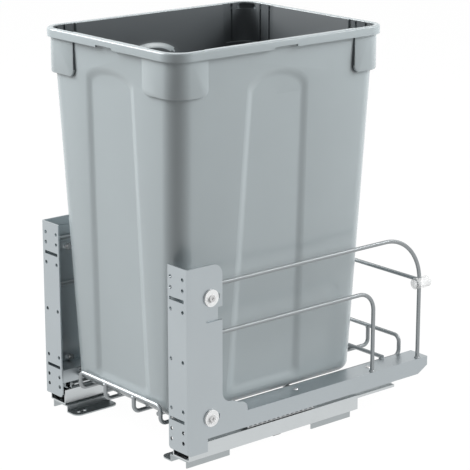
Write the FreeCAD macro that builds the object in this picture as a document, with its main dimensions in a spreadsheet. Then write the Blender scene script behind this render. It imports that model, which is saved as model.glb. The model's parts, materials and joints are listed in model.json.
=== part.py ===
"""Pull-out waste bin kit: a tapered bin carried by a wire cradle between two steel side rails.

The rails run on ball slides that stand on four sheet steel feet, and each rail carries a
bracket at its front for the cabinet door. Millimetres. +Z is up, -Y is the front, where the
door goes, and +X is the right side seen from the front. The origin is on the cabinet floor,
under the middle of the kit. The right-hand pieces are drawn, and the left ones mirror them.
"""
import FreeCAD, Part
import os
import re

import Sketcher
from FreeCAD import Rotation, Vector

doc = FreeCAD.newDocument("pull_out_bin")

# ---------------------------------------------------------------- driving dimensions
SIZES = {
    # whole frame
    "frame_width": 282.0,            # over the outer faces of the two door brackets
    "rear_reach": 388.0,             # door plane to the rear face of the bumpers
    "rim_lead": 5.7,                 # bin rim ahead of the door plane
    "seat_gap": 0.3,                 # where a loose piece stands on another
    # door bracket
    "bracket_sheet": 2.0,
    "bracket_bottom": 17.3,
    "bracket_top": 239.0,
    "bracket_depth": 51.0,
    "bracket_leg_depth": 29.0,
    "flange_width": 35.0,
    "flange_bottom": 19.5,
    "flange_corner": 4.0,
    "bend_radius": 3.0,
    "arm_depth": 88.7,
    "arm_bottom": 34.0,
    "arm_top": 66.5,
    "arm_step_top": 71.0,
    "arm_neck_depth": 65.0,
    "arm_nose_depth": 77.0,
    "bracket_round": 14.0,
    "nose_round": 11.0,
    "notch_depth": 24.0,
    "notch_bottom": 172.0,
    "notch_top": 188.0,
    "notch_round": 1.5,
    "door_hole": 4.6,
    "column_outer": 8.5,             # door hole columns, from the bracket's outer face
    "column_inner": 29.9,
    "slot_high": 4.0,
    "slot_over": 2.2,                # how far a door slot runs past the two columns
    "row_top": 226.0,
    "row_pitch": 12.65,
    "row_middle": 129.0,
    "row_bottom": 32.0,
    # fixing of the bracket to the upright
    "adjuster_depth": 34.0,          # behind the door plane
    "adjuster_disc": 20.0,
    "adjuster_disc_high": 2.0,
    "adjuster_screw": 5.0,
    "adjuster_head": 8.0,
    "adjuster_head_high": 1.6,
    "adjuster_nut": 8.0,
    "adjuster_nut_high": 4.0,
    "adjuster_end": 0.8,             # thread past the nut
    "recess_across": 4.0,
    "recess_wide": 1.0,
    "recess_deep": 1.2,
    "door_travel": 10.0,              # bracket forward of its rest
    "screw_clearance": 0.2,
    # side rail and upright
    "rail_sheet": 1.5,
    "rail_start": 5.0,
    "rail_end_gap": 1.0,             # rail's end ahead of the bumpers' rear face
    "rail_width": 29.0,
    "rail_bottom": 32.0,
    "rail_top": 52.5,
    "rail_end_cut": 16.0,
    "rail_end_rise": 9.0,
    "upright_start": 5.0,
    "upright_depth": 41.0,
    "upright_top": 228.0,
    "upright_round": 8.0,
    # wires
    "wire": 5.0,
    "side_wire_start": 12.0,
    "upper_wire_height": 213.2,
    "upper_wire_round": 60.0,
    "lower_wire_height": 154.6,
    "lower_wire_rear": 294.6,
    "lower_wire_round": 24.0,
    "rear_cross_lift": 1.0,          # rear cross wire above the foot of the upper bend
    "cross_height": 43.0,
    "cross_front": 30.0,
    "cross_middle": 196.0,
    "cross_rear_lead": 30.5,         # cross wire behind the bin, ahead of the rear guard
    "guard_height": 75.2,
    "guard_lead": 5.5,               # rear guard ahead of the upper wires' rear
    "guard_run_drop": 3.0,           # rear guard's runs below the rails' top
    "guard_leg_half": 51.5,
    "floor_drop_lead": 45.5,         # where the floor wires dip under the bin, from the guard
    "floor_drop_run": 18.0,
    "wire_bend": 8.0,
    "run_start": 26.0,
    "bar_height": 59.3,
    "bar_front": 9.0,
    "bar_half": 79.0,
    "bar_leg_half": 28.0,
    "bar_run_end": 37.0,
    # bumper
    "bumper_across": 14.0,
    "bumper_drop": 4.0,              # below the rear cross wire
    "bumper_lead": 9.0,              # ahead of the wire's centre line
    "bumper_tail": 15.0,             # behind the wire's centre line
    "bumper_round": 1.75,
    "bumper_clearance": 0.15,
    # ball slide
    "slide_inset": 17.0,             # slide centre line inside the rail's outer face
    "slide_sheet": 1.5,
    "slide_clearance": 0.3,
    "ball": 4.0,
    "ball_gap": 0.02,
    "cabinet_start": 5.0,
    "cabinet_length": 264.0,
    "cabinet_half": 15.0,
    "cabinet_high": 18.5,
    "cabinet_lip": 6.0,
    "middle_start": 20.0,
    "middle_length": 314.0,
    "shoulder_half": 14.5,
    "middle_foot_half": 12.5,
    "middle_foot_high": 3.2,
    "lower_neck_half": 8.0,
    "upper_neck_half": 6.0,
    "head_half": 8.3,
    "carriage_start": 8.0,
    "carriage_end_gap": 7.0,         # ahead of the rail's end
    "carriage_half": 10.3,
    "carriage_lip": 3.7,
    "carriage_lip_rise": 3.5,
    "cage_sheet": 1.0,
    "lower_cage_start": 92.0,
    "upper_cage_start": 112.0,
    "ball_pitch": 7.2,
    "lower_ball_inset": 2.5,         # ball row inside the cabinet member's outer face
    "upper_ball_half": 4.8,
    "cage_edge": 2.3,
    "cage_side": 0.8,                # strip beside a ball, away from the wall
    "cage_gap": 0.2,                 # strip beside a ball, next to a wall
    # feet
    "foot_sheet": 1.5,
    "foot_high": 9.0,
    "foot_length": 64.0,
    "foot_inset": 9.0,               # outer leg inside the bracket's outer face
    "foot_top_width": 30.0,
    "foot_flange": 19.0,
    "foot_corner": 9.0,
    "front_foot_start": 5.0,
    "rear_foot_start": 197.0,
    "foot_hole": 4.6,
    "foot_hole_inset": 9.5,          # from the flange's free edge
    "foot_hole_start": 9.5,
    "foot_hole_pitch": 9.0,
    "rivet": 4.0,
    "rivet_head": 7.0,
    "rivet_head_high": 1.0,
    "foot_rivet_start": 18.0,        # from the foot's front edge
    "foot_rivet_end": 14.0,          # from the foot's rear edge
    "rail_rivet_start": 60.0,
    "rail_rivet_pitch": 120.0,
    # bin
    "rim_side_gap": 12.3,            # rim inside the brackets' outer faces
    "rim_rear_gap": 70.1,            # rim ahead of the bumpers' rear face
    "rim_height": 478.0,
    "rim_band": 10.0,
    "rim_sheet": 2.5,
    "rim_round": 27.0,
    "rim_overhang": 6.0,
    "bin_wall": 3.0,
    "bin_floor": 3.0,
    "bin_side_draw": 28.7,           # bottom inside the rim, at each side
    "bin_end_draw": 19.8,            # and at each end
    "bin_bottom_round": 24.5,
    "bin_edge_round": 11.0,
    "pad_inset": 4.0,
    "pad_front_reach": 64.0,         # pads along the front and back, from the rim's corner
    "pad_side_reach": 52.0,          # and along the sides
    "pad_low": 53.0,                 # rim top to the pads' lower edge
    "pad_round": 9.0,
    "grip_front": 30.0,
    "grip_side": 35.0,
    "grip_high": 2.6,
    "panel_depth": 1.4,
    "panel_front_width": 84.0,
    "panel_side_width": 86.0,
    "panel_top": 440.0,
    "panel_bottom": 66.0,
    "panel_arch": 17.0,
}
BALL_COUNTS = {"lower": 15, "upper": 19}
RAIL_RIVETS = 3

sheet = doc.addObject("Spreadsheet::Sheet", "Sizes")
for row, (alias, number) in enumerate(SIZES.items(), start=1):
    sheet.set("A%d" % row, alias)
    sheet.set("B%d" % row, str(number))
    sheet.setAlias("B%d" % row, alias)
doc.recompute()


# ---------------------------------------------------------------- small helpers
def bound(text):
    """The expression with every size's name pointed at the sheet."""
    return re.sub(r"[a-z_]{3,}", lambda word: "Sizes." + word.group(0), str(text))


def size(alias):
    """A driving dimension as a number."""
    return float(sheet.get(alias))


def labelled(thing, name):
    thing.Label = name
    return thing


def body(name):
    return doc.addObject("PartDesign::Body", name)


def plane_of(owner, role):
    """One of the body's own origin planes."""
    return [part for part in owner.Origin.OriginFeatures if part.Role == role][0]


def sketch_on(owner, name, role, offset="0"):
    """An empty sketch on one of the body's planes, moved along that plane's normal."""
    sketch = owner.newObject("Sketcher::SketchObject", name)
    sketch.AttachmentSupport = (plane_of(owner, role), [""])
    sketch.MapMode = "FlatFace"
    sketch.setExpression("AttachmentOffset.Base.z", bound(offset))
    return sketch


def pin_point(sketch, geometry, end, across, up):
    """Holds one point of the sketch at two expressions, measured from its origin."""
    for kind, text in (("DistanceX", across), ("DistanceY", up)):
        index = sketch.addConstraint(
            Sketcher.Constraint(kind, -1, 1, geometry, end, 1.0))
        sketch.setExpression("Constraints[%d]" % index, bound(text))


def add_outline(sketch, corners):
    """A closed outline of straight lines through corners given as expressions."""
    values = [tuple(sheet_value(text) for text in corner) for corner in corners]
    first = sketch.GeometryCount
    count = len(corners)
    for number, start in enumerate(values):
        finish = values[(number + 1) % count]
        sketch.addGeometry(Part.LineSegment(Vector(*start, 0), Vector(*finish, 0)), False)
    for number in range(count):
        sketch.addConstraint(Sketcher.Constraint(
            "Coincident", first + number, 2, first + (number + 1) % count, 1))
    for number, (across, up) in enumerate(corners):
        pin_point(sketch, first + number, 1, across, up)


def add_circle(sketch, across, up, diameter):
    """A full circle with its centre and diameter given as expressions."""
    centre = Vector(sheet_value(across), sheet_value(up), 0)
    number = sketch.addGeometry(
        Part.Circle(centre, Vector(0, 0, 1), sheet_value(diameter) / 2), False)
    pin_point(sketch, number, 3, across, up)
    index = sketch.addConstraint(
        Sketcher.Constraint("Diameter", number, sheet_value(diameter)))
    sketch.setExpression("Constraints[%d]" % index, bound(diameter))


def sheet_value(text):
    """The number that an expression of sizes gives now."""
    words = re.sub(r"[a-z_]{3,}", lambda word: repr(size(word.group(0))), str(text))
    return FreeCAD.Units.Quantity(words).Value if words.strip() else 0.0


def pad(owner, sketch, name, length, backwards=False):
    feature = owner.newObject("PartDesign::Pad", name)
    feature.Profile = sketch
    feature.Reversed = backwards
    feature.setExpression("Length", bound(length))
    return feature


def pocket(owner, sketch, name, length, backwards=False):
    """Cuts the sketch out of the body; the volume has to fall."""
    doc.recompute()
    before = owner.Shape.Volume
    feature = owner.newObject("PartDesign::Pocket", name)
    feature.Profile = sketch
    feature.Reversed = backwards
    feature.setExpression("Length", bound(length))
    doc.recompute()
    if owner.Shape.Volume >= before:
        raise ValueError("%s cuts nothing" % name)
    return feature


def edges_at(shape, chosen):
    """Names of the edges whose middle point passes the test."""
    names = []
    for number, edge in enumerate(shape.Edges, start=1):
        middle = edge.valueAt((edge.FirstParameter + edge.LastParameter) / 2)
        if chosen(middle, edge):
            names.append("Edge%d" % number)
    return names


def near(value, target, room=0.01):
    return abs(value - target) < room


def round_edges(owner, name, radius, chosen):
    """A fillet on the edges of the body's tip that pass the test."""
    doc.recompute()
    base = owner.Tip
    names = edges_at(base.Shape, chosen)
    if not names:
        raise ValueError("%s finds no edge" % name)
    feature = owner.newObject("PartDesign::Fillet", name)
    feature.Base = (base, names)
    feature.setExpression("Radius", bound(radius))
    return feature


def mirrored(right, name):
    """The left-hand piece: the right-hand one seen in the middle plane."""
    left = doc.addObject("Part::Mirroring", name)
    left.Source = right
    left.Normal = (1, 0, 0)
    left.Base = (0, 0, 0)
    return labelled(left, name)


def solid_piece(name, shape):
    """A piece whose solid is made directly."""
    piece = doc.addObject("Part::Feature", name)
    piece.Shape = shape
    return labelled(piece, name)


def primitive(kind, name, sizes, at, turn=Rotation()):
    """A Part primitive whose sizes and place are bound to the sheet."""
    part = doc.addObject("Part::" + kind, name)
    part.Placement.Rotation = turn
    for what, text in sizes.items():
        part.setExpression(what, bound(text))
    for axis, text in zip("xyz", at):
        part.setExpression("Placement.Base." + axis, bound(text))
    return part


def cut_from(name, base, tool):
    """The base with the tool taken away; the volume has to fall."""
    part = doc.addObject("Part::Cut", name)
    part.Base, part.Tool = base, tool
    doc.recompute()
    if part.Shape.Volume >= base.Shape.Volume:
        raise ValueError("%s cuts nothing" % name)
    return part


def joined(name, members):
    part = doc.addObject("Part::MultiFuse", name)
    part.Shapes = members
    part.Refine = True
    return part


def group_piece(name, members):
    """Identical solids that share one name."""
    piece = doc.addObject("Part::Compound", name)
    piece.Links = members
    return labelled(piece, name)


# ---------------------------------------------------------------- shared places
DOOR = "(-(rear_reach - rim_lead) / 2)"            # Y of the door plane
FRAME_SIDE = "(frame_width / 2 - bracket_sheet)"   # X of the rails' outer faces
SLIDE_X = "(%s - slide_inset)" % FRAME_SIDE
CABINET_TOP = "(foot_high + cabinet_high)"
SHOULDER_LOW = "(%s + ball)" % CABINET_TOP
SHOULDER_TOP = "(%s + slide_sheet)" % SHOULDER_LOW
CARRIAGE_LOW = "(%s + carriage_lip_rise)" % SHOULDER_TOP
CARRIAGE_TOP = "(rail_top - rail_sheet)"
HEAD_TOP = "(%s - slide_sheet - ball)" % CARRIAGE_TOP
UPPER_ADJUSTER = "(row_top - 2 * row_pitch)"
LOWER_ADJUSTER = "(row_bottom + 2 * row_pitch)"
SIDE_WIRE_X = "(%s - rail_sheet - wire / 2)" % FRAME_SIDE
GUARD_RUN = "(rail_top - guard_run_drop)"
FLOOR_RUN = "(cross_height - wire)"
RAIL_END = "(rear_reach - rail_end_gap)"
RAIL_LENGTH = "(%s - rail_start)" % RAIL_END
CARRIAGE_LENGTH = "(%s - carriage_end_gap - carriage_start)" % RAIL_END
UPPER_REAR = "(rear_reach - bumper_tail)"          # of the upper wires
GUARD_REAR = "(%s - guard_lead)" % UPPER_REAR
CROSS_REAR = "(%s - cross_rear_lead)" % GUARD_REAR
ALONG_X = Rotation(Vector(0, 1, 0), 90)            # turns an upright primitive to +X
ACROSS = Rotation(Vector(0, 1, 0), -90)            # and to -X
GUARD_HALF = "(%s - rail_width - wire / 2)" % FRAME_SIDE
REAR_CROSS = "(upper_wire_height - upper_wire_round + rear_cross_lift)"
BUMPER_HEIGHT = "(%s - bumper_drop)" % REAR_CROSS
BIN_BOTTOM = "(cross_height + wire / 2 + seat_gap)"
RIM_WIDTH = "(frame_width - 2 * rim_side_gap)"
RIM_LENGTH = "(rear_reach + rim_lead - rim_rear_gap)"


def door_y(text):
    """An expression for Y, measured back from the door plane."""
    return "(%s + %s)" % (DOOR, text)


# ---------------------------------------------------------------- door bracket
def make_door_bracket():
    owner = body("door_bracket_right")
    side = sketch_on(owner, "bracket_side_outline", "YZ_Plane", FRAME_SIDE)
    add_outline(side, [
        (door_y("0"), "flange_bottom"),
        (door_y("bend_radius"), "flange_bottom"),
        (door_y("bend_radius"), "bracket_bottom"),
        (door_y("bracket_leg_depth"), "bracket_bottom"),
        (door_y("bracket_leg_depth"), "arm_bottom"),
        (door_y("arm_depth"), "arm_bottom"),
        (door_y("arm_depth"), "arm_top"),
        (door_y("arm_nose_depth"), "arm_top"),
        (door_y("arm_neck_depth"), "arm_step_top"),
        (door_y("bracket_depth"), "arm_step_top"),
        (door_y("bracket_depth"), "notch_bottom"),
        (door_y("(bracket_depth - notch_depth)"), "notch_bottom"),
        (door_y("(bracket_depth - notch_depth)"), "notch_top"),
        (door_y("bracket_depth"), "notch_top"),
        (door_y("bracket_depth"), "bracket_top"),
        (door_y("0"), "bracket_top"),
    ])
    pad(owner, side, "bracket_side", "bracket_sheet")
    flange = sketch_on(owner, "bracket_flange_outline", "XZ_Plane",
                       "-(%s + bracket_sheet)" % DOOR)
    add_outline(flange, [
        ("frame_width / 2", "flange_bottom"),
        ("frame_width / 2", "bracket_top"),
        ("frame_width / 2 - flange_width", "bracket_top"),
        ("frame_width / 2 - flange_width", "flange_bottom"),
    ])
    pad(owner, flange, "bracket_flange", "bracket_sheet")

    front = sheet_value(DOOR)
    outer = size("frame_width") / 2
    inner = outer - size("bracket_sheet")
    neck_y = front + size("bracket_depth")

    def corner(y, z):
        return lambda middle, edge: near(middle.y, y) and near(middle.z, z)

    def bend(x, y):
        return lambda middle, edge: (near(middle.x, x) and near(middle.y, y)
                                     and edge.Length > size("bracket_depth") * 2)

    round_edges(owner, "bracket_top_round", "bracket_round",
                corner(neck_y, size("bracket_top")))
    round_edges(owner, "bracket_neck_round", "bracket_round - 1",
                corner(neck_y, size("arm_step_top")))
    round_edges(owner, "bracket_nose_round", "nose_round",
                corner(front + size("arm_depth"), size("arm_top")))
    notch_y = neck_y - size("notch_depth")
    round_edges(owner, "bracket_notch_round", "notch_round",
                lambda middle, edge: near(middle.y, notch_y)
                and (near(middle.z, size("notch_bottom")) or near(middle.z, size("notch_top"))))
    round_edges(owner, "bracket_flange_round", "flange_corner",
                lambda middle, edge: near(middle.x, outer - size("flange_width"))
                and near(middle.z, size("flange_bottom")))
    round_edges(owner, "bracket_bend_inside", "bend_radius - bracket_sheet",
                bend(inner, front + size("bracket_sheet")))
    round_edges(owner, "bracket_bend_outside", "bend_radius", bend(outer, front))

    holes = sketch_on(owner, "door_holes_outline", "XZ_Plane",
                      "-(%s + bracket_sheet)" % DOOR)
    columns = ("(frame_width / 2 - column_outer)", "(frame_width / 2 - column_inner)")
    rows = ["row_top", "row_top - row_pitch", "row_top - 3 * row_pitch", "row_middle",
            "row_bottom + 3 * row_pitch", "row_bottom + row_pitch", "row_bottom"]
    for column in columns:
        for row in rows:
            add_circle(holes, column, row, "door_hole")
    pocket(owner, holes, "door_holes", "bracket_sheet * 2", backwards=True)
    slots = sketch_on(owner, "door_slots_outline", "XZ_Plane",
                      "-(%s + bracket_sheet)" % DOOR)
    for middle in (UPPER_ADJUSTER, LOWER_ADJUSTER):
        add_outline(slots, [
            ("frame_width / 2 - column_outer + slot_over", "%s - slot_high / 2" % middle),
            ("frame_width / 2 - column_outer + slot_over", "%s + slot_high / 2" % middle),
            ("frame_width / 2 - column_inner - slot_over", "%s + slot_high / 2" % middle),
            ("frame_width / 2 - column_inner - slot_over", "%s - slot_high / 2" % middle),
        ])
    pocket(owner, slots, "door_slots", "bracket_sheet * 2", backwards=True)

    # The screws stay put while the bracket moves forward, so each slot runs back from its screw.
    guides = sketch_on(owner, "adjuster_slots_outline", "YZ_Plane", FRAME_SIDE)
    half = "(adjuster_screw / 2 + screw_clearance)"
    for height in (UPPER_ADJUSTER, LOWER_ADJUSTER):
        add_outline(guides, [
            (door_y("adjuster_depth - %s" % half), "%s - %s" % (height, half)),
            (door_y("adjuster_depth + door_travel + %s" % half), "%s - %s" % (height, half)),
            (door_y("adjuster_depth + door_travel + %s" % half), "%s + %s" % (height, half)),
            (door_y("adjuster_depth - %s" % half), "%s + %s" % (height, half)),
        ])
    pocket(owner, guides, "adjuster_slots", "bracket_sheet * 2", backwards=True)
    return owner


# ---------------------------------------------------------------- rail, upright, slide sections
def channel_piece(name, start, length, corners):
    """A section in the XZ plane drawn out along Y."""
    owner = body(name)
    section = sketch_on(owner, name + "_section", "XZ_Plane", "-%s" % door_y(start))
    add_outline(section, corners)
    pad(owner, section, name + "_length", length, backwards=True)
    return owner


def beside(centre, offset):
    return "%s + %s" % (centre, offset)


def make_side_rail():
    outside = FRAME_SIDE
    inside = "(%s - rail_width)" % FRAME_SIDE
    inner_low = "(%s - rail_sheet / 3)" % CARRIAGE_LOW
    owner = channel_piece("side_rail_right", "rail_start", RAIL_LENGTH, [
        (outside, "rail_bottom"),
        (outside, "rail_top"),
        (inside, "rail_top"),
        (inside, inner_low),
        (inside + " + rail_sheet", inner_low),
        (inside + " + rail_sheet", "rail_top - rail_sheet"),
        (outside + " - rail_sheet", "rail_top - rail_sheet"),
        (outside + " - rail_sheet", "rail_bottom"),
    ])
    cut = sketch_on(owner, "rail_end_outline", "YZ_Plane", outside)
    add_outline(cut, [
        (door_y(RAIL_END + " - rail_end_cut"), "rail_bottom"),
        (door_y(RAIL_END), "rail_bottom"),
        (door_y(RAIL_END), "rail_bottom + rail_end_rise"),
    ])
    pocket(owner, cut, "rail_end", "rail_sheet * 2")
    rivets = sketch_on(owner, "rail_rivet_holes_outline", "XY_Plane", "rail_top")
    for number in range(RAIL_RIVETS):
        add_circle(rivets, SLIDE_X,
                   door_y("rail_rivet_start + %d * rail_rivet_pitch" % number), "rivet")
    pocket(owner, rivets, "rail_rivet_holes", "rail_sheet * 2")
    return owner


def make_upright():
    owner = body("rail_upright_right")
    plate = sketch_on(owner, "upright_outline", "YZ_Plane",
                      "%s - rail_sheet" % FRAME_SIDE)
    rear = "(upright_start + upright_depth)"
    add_outline(plate, [
        (door_y("upright_start"), "rail_top"),
        (door_y(rear), "rail_top"),
        (door_y(rear), "upright_top"),
        (door_y("upright_start"), "upright_top"),
    ])
    pad(owner, plate, "upright_plate", "rail_sheet")
    rear_y = sheet_value(door_y(rear))
    round_edges(owner, "upright_round_corner", "upright_round",
                lambda middle, edge: near(middle.y, rear_y)
                and near(middle.z, size("upright_top")))
    holes = sketch_on(owner, "upright_holes_outline", "YZ_Plane",
                      "%s - rail_sheet" % FRAME_SIDE)
    for height in (UPPER_ADJUSTER, LOWER_ADJUSTER):
        add_circle(holes, door_y("adjuster_depth"), height, "adjuster_screw")
    pocket(owner, holes, "upright_holes", "rail_sheet * 2", backwards=True)
    return owner


def make_cabinet_member():
    """The fixed member: a channel whose lips carry the lower balls."""
    wall, lip = "cabinet_half", "(cabinet_half - cabinet_lip)"
    x, top = SLIDE_X, CABINET_TOP
    owner = channel_piece("slide_cabinet_member_right", "cabinet_start", "cabinet_length", [
        (beside(x, "-%s" % wall), "foot_high"),
        (beside(x, wall), "foot_high"),
        (beside(x, wall), top),
        (beside(x, lip), top),
        (beside(x, lip), "%s - slide_sheet" % top),
        (beside(x, "%s - slide_sheet" % wall), "%s - slide_sheet" % top),
        (beside(x, "%s - slide_sheet" % wall), "foot_high + slide_sheet"),
        (beside(x, "-%s + slide_sheet" % wall), "foot_high + slide_sheet"),
        (beside(x, "-%s + slide_sheet" % wall), "%s - slide_sheet" % top),
        (beside(x, "-%s" % lip), "%s - slide_sheet" % top),
        (beside(x, "-%s" % lip), top),
        (beside(x, "-%s" % wall), top),
    ])
    low_x = [sheet_value(x) + side * size("cabinet_half") for side in (-1, 1)]
    round_edges(owner, "cabinet_member_round", "slide_sheet",
                lambda middle, edge: near(middle.z, size("foot_high"))
                and edge.Length > size("cabinet_length") * 0.9
                and any(near(middle.x, value) for value in low_x))
    rivets = sketch_on(owner, "cabinet_rivet_holes_outline", "XY_Plane", "foot_high")
    for place in foot_rivet_places():
        add_circle(rivets, SLIDE_X, door_y(place), "rivet")
    pocket(owner, rivets, "cabinet_rivet_holes", "slide_sheet * 2", backwards=True)
    return owner


def make_middle_member():
    """The telescoping member: shoulders on the lower balls, a head under the upper ones."""
    x = SLIDE_X
    foot_top = "(%s - slide_sheet - slide_clearance)" % CABINET_TOP
    foot_low = "(%s - middle_foot_high)" % foot_top
    head_low = "(%s + slide_sheet + slide_clearance)" % CARRIAGE_LOW
    right = [
        ("middle_foot_half", foot_low),
        ("middle_foot_half", foot_top),
        ("lower_neck_half", foot_top),
        ("lower_neck_half", SHOULDER_LOW),
        ("shoulder_half", SHOULDER_LOW),
        ("shoulder_half", SHOULDER_TOP),
        ("upper_neck_half", SHOULDER_TOP),
        ("upper_neck_half", head_low),
        ("head_half", head_low),
        ("head_half", HEAD_TOP),
    ]
    corners = [(beside(x, across), up) for across, up in right]
    corners += [(beside(x, "-" + across), up) for across, up in reversed(right)]
    owner = channel_piece("slide_middle_member_right", "middle_start", "middle_length", corners)
    hollow = sketch_on(owner, "middle_hollow_outline", "XZ_Plane",
                       "-%s" % door_y("middle_start"))
    half = "(upper_neck_half - slide_sheet)"
    add_outline(hollow, [
        (beside(x, "-" + half), "%s + slide_sheet" % foot_low),
        (beside(x, half), "%s + slide_sheet" % foot_low),
        (beside(x, half), "%s - slide_sheet" % HEAD_TOP),
        (beside(x, "-" + half), "%s - slide_sheet" % HEAD_TOP),
    ])
    pocket(owner, hollow, "middle_hollow", "middle_length")
    return owner


def make_carriage_member():
    """The moving member inside the rail, hooked round the middle member's head."""
    wall, lip = "carriage_half", "(carriage_half - carriage_lip)"
    x, top, low = SLIDE_X, CARRIAGE_TOP, CARRIAGE_LOW
    owner = channel_piece("slide_carriage_member_right", "carriage_start", CARRIAGE_LENGTH, [
        (beside(x, "-%s" % wall), top),
        (beside(x, "-%s" % wall), low),
        (beside(x, "-%s" % lip), low),
        (beside(x, "-%s" % lip), "%s + slide_sheet" % low),
        (beside(x, "-%s + slide_sheet" % wall), "%s + slide_sheet" % low),
        (beside(x, "-%s + slide_sheet" % wall), "%s - slide_sheet" % top),
        (beside(x, "%s - slide_sheet" % wall), "%s - slide_sheet" % top),
        (beside(x, "%s - slide_sheet" % wall), "%s + slide_sheet" % low),
        (beside(x, lip), "%s + slide_sheet" % low),
        (beside(x, lip), low),
        (beside(x, wall), low),
        (beside(x, wall), top),
    ])
    rivets = sketch_on(owner, "carriage_rivet_holes_outline", "XY_Plane", top)
    for number in range(RAIL_RIVETS):
        add_circle(rivets, SLIDE_X,
                   door_y("rail_rivet_start + %d * rail_rivet_pitch" % number), "rivet")
    pocket(owner, rivets, "carriage_rivet_holes", "slide_sheet * 2")
    return owner


# ---------------------------------------------------------------- balls and their cages
def cage_length(count):
    return "(%d * ball_pitch + 2 * cage_edge)" % (count - 1)


def make_cage_strip(name, row, height, start, count, inner, outer):
    """A strip with a row of ball holes; inner and outer are its edges beside the row."""
    owner = body(name)
    strip = sketch_on(owner, name + "_outline", "XY_Plane", "%s - cage_sheet / 2" % height)
    finish = "%s + %s" % (start, cage_length(count))
    add_outline(strip, [
        ("%s - %s" % (row, inner), door_y(start)),
        ("%s + %s" % (row, outer), door_y(start)),
        ("%s + %s" % (row, outer), door_y(finish)),
        ("%s - %s" % (row, inner), door_y(finish)),
    ])
    pad(owner, strip, name + "_strip", "cage_sheet")
    hole = sketch_on(owner, name + "_hole_outline", "XY_Plane", "%s - cage_sheet / 2" % height)
    add_circle(hole, row, door_y("%s + cage_edge" % start), "ball + 2 * ball_gap")
    first = pocket(owner, hole, name + "_hole", "cage_sheet * 2", backwards=True)
    pattern = owner.newObject("PartDesign::LinearPattern", name + "_holes")
    pattern.Originals = [first]
    pattern.Direction = (plane_of(owner, "XZ_Plane"), [""])
    pattern.Reversed = True
    pattern.Occurrences = count
    pattern.setExpression("Length", bound("%d * ball_pitch" % (count - 1)))
    owner.Tip = pattern
    return owner


def make_balls(name, rows, height, start, count):
    """Balls in rows along Y, as separate solids."""
    balls = []
    for row in rows:
        for number in range(count):
            y = door_y("%s + cage_edge + %d * ball_pitch" % (start, number))
            balls.append(primitive("Sphere", "%s_%d" % (name, len(balls)),
                                   {"Radius": "ball / 2 - ball_gap"}, (row, y, height)))
    return group_piece(name, balls)


def make_lower_balls():
    height = "(%s + ball / 2)" % CABINET_TOP
    reach = "(cabinet_half - lower_ball_inset)"
    outer_row, inner_row = "(%s + %s)" % (SLIDE_X, reach), "(%s - %s)" % (SLIDE_X, reach)
    count = BALL_COUNTS["lower"]
    strips = [
        make_cage_strip("lower_cage_outer_strip", outer_row, height, "lower_cage_start", count,
                        "(ball / 2 + cage_side)", "(ball / 2 + cage_gap)"),
        make_cage_strip("lower_cage_inner_strip", inner_row, height, "lower_cage_start", count,
                        "(ball / 2 + cage_gap)", "(ball / 2 + cage_side)"),
    ]
    cage = group_piece("lower_ball_cage_right", strips)
    balls = make_balls("lower_balls_right", (outer_row, inner_row), height,
                       "lower_cage_start", count)
    return cage, balls


def make_upper_balls():
    height = "(%s + ball / 2)" % HEAD_TOP
    count = BALL_COUNTS["upper"]
    rows = ["(%s + upper_ball_half)" % SLIDE_X, "(%s - upper_ball_half)" % SLIDE_X]
    owner = make_cage_strip("upper_ball_cage_right", rows[0], height, "upper_cage_start", count,
                            "(upper_ball_half + head_half - cage_gap)",
                            "(head_half - upper_ball_half - cage_gap)")
    hole = sketch_on(owner, "upper_cage_second_hole", "XY_Plane", "%s - cage_sheet / 2" % height)
    add_circle(hole, rows[1], door_y("upper_cage_start + cage_edge"), "ball + 2 * ball_gap")
    second = pocket(owner, hole, "upper_cage_second", "cage_sheet * 2", backwards=True)
    pattern = owner.newObject("PartDesign::LinearPattern", "upper_cage_second_holes")
    pattern.Originals = [second]
    pattern.Direction = (plane_of(owner, "XZ_Plane"), [""])
    pattern.Reversed = True
    pattern.Occurrences = count
    pattern.setExpression("Length", bound("%d * ball_pitch" % (count - 1)))
    owner.Tip = pattern
    return owner, make_balls("upper_balls_right", rows, height, "upper_cage_start", count)


# ---------------------------------------------------------------- feet and rivets
def foot_rivet_places():
    """Y places of the rivets, behind the door plane: two in each foot."""
    places = []
    for start in ("front_foot_start", "rear_foot_start"):
        places.append("%s + foot_rivet_start" % start)
        places.append("%s + foot_length - foot_rivet_end" % start)
    return places


def make_foot(name, start):
    """A bent strip: floor flange, inner leg, raised plate under the slide, outer leg."""
    outer = "(frame_width / 2 - foot_inset)"
    inner = "(%s - foot_top_width)" % outer
    tip = "(%s - foot_flange)" % inner
    owner = channel_piece(name, start, "foot_length", [
        (tip, "0"),
        (inner + " + foot_sheet", "0"),
        (inner + " + foot_sheet", "foot_high - foot_sheet"),
        (outer + " - foot_sheet", "foot_high - foot_sheet"),
        (outer + " - foot_sheet", "0"),
        (outer, "0"),
        (outer, "foot_high"),
        (inner, "foot_high"),
        (inner, "foot_sheet"),
        (tip, "foot_sheet"),
    ])
    tip_x = sheet_value(tip)
    round_edges(owner, name + "_corners", "foot_corner",
                lambda middle, edge: near(middle.x, tip_x)
                and near(middle.z, size("foot_sheet") / 2))
    holes = sketch_on(owner, name + "_holes_outline", "XY_Plane", "0")
    for number in range(2):
        add_circle(holes, tip + " + foot_hole_inset",
                   door_y("%s + foot_hole_start + %d * foot_hole_pitch" % (start, number)),
                   "foot_hole")
    pocket(owner, holes, name + "_holes", "foot_sheet * 2", backwards=True)
    rivets = sketch_on(owner, name + "_rivet_holes_outline", "XY_Plane",
                       "foot_high - foot_sheet")
    for place in foot_rivet_places():
        if place.startswith(start):
            add_circle(rivets, SLIDE_X, door_y(place), "rivet")
    pocket(owner, rivets, name + "_rivet_holes", "foot_sheet * 2", backwards=True)
    return owner


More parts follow.
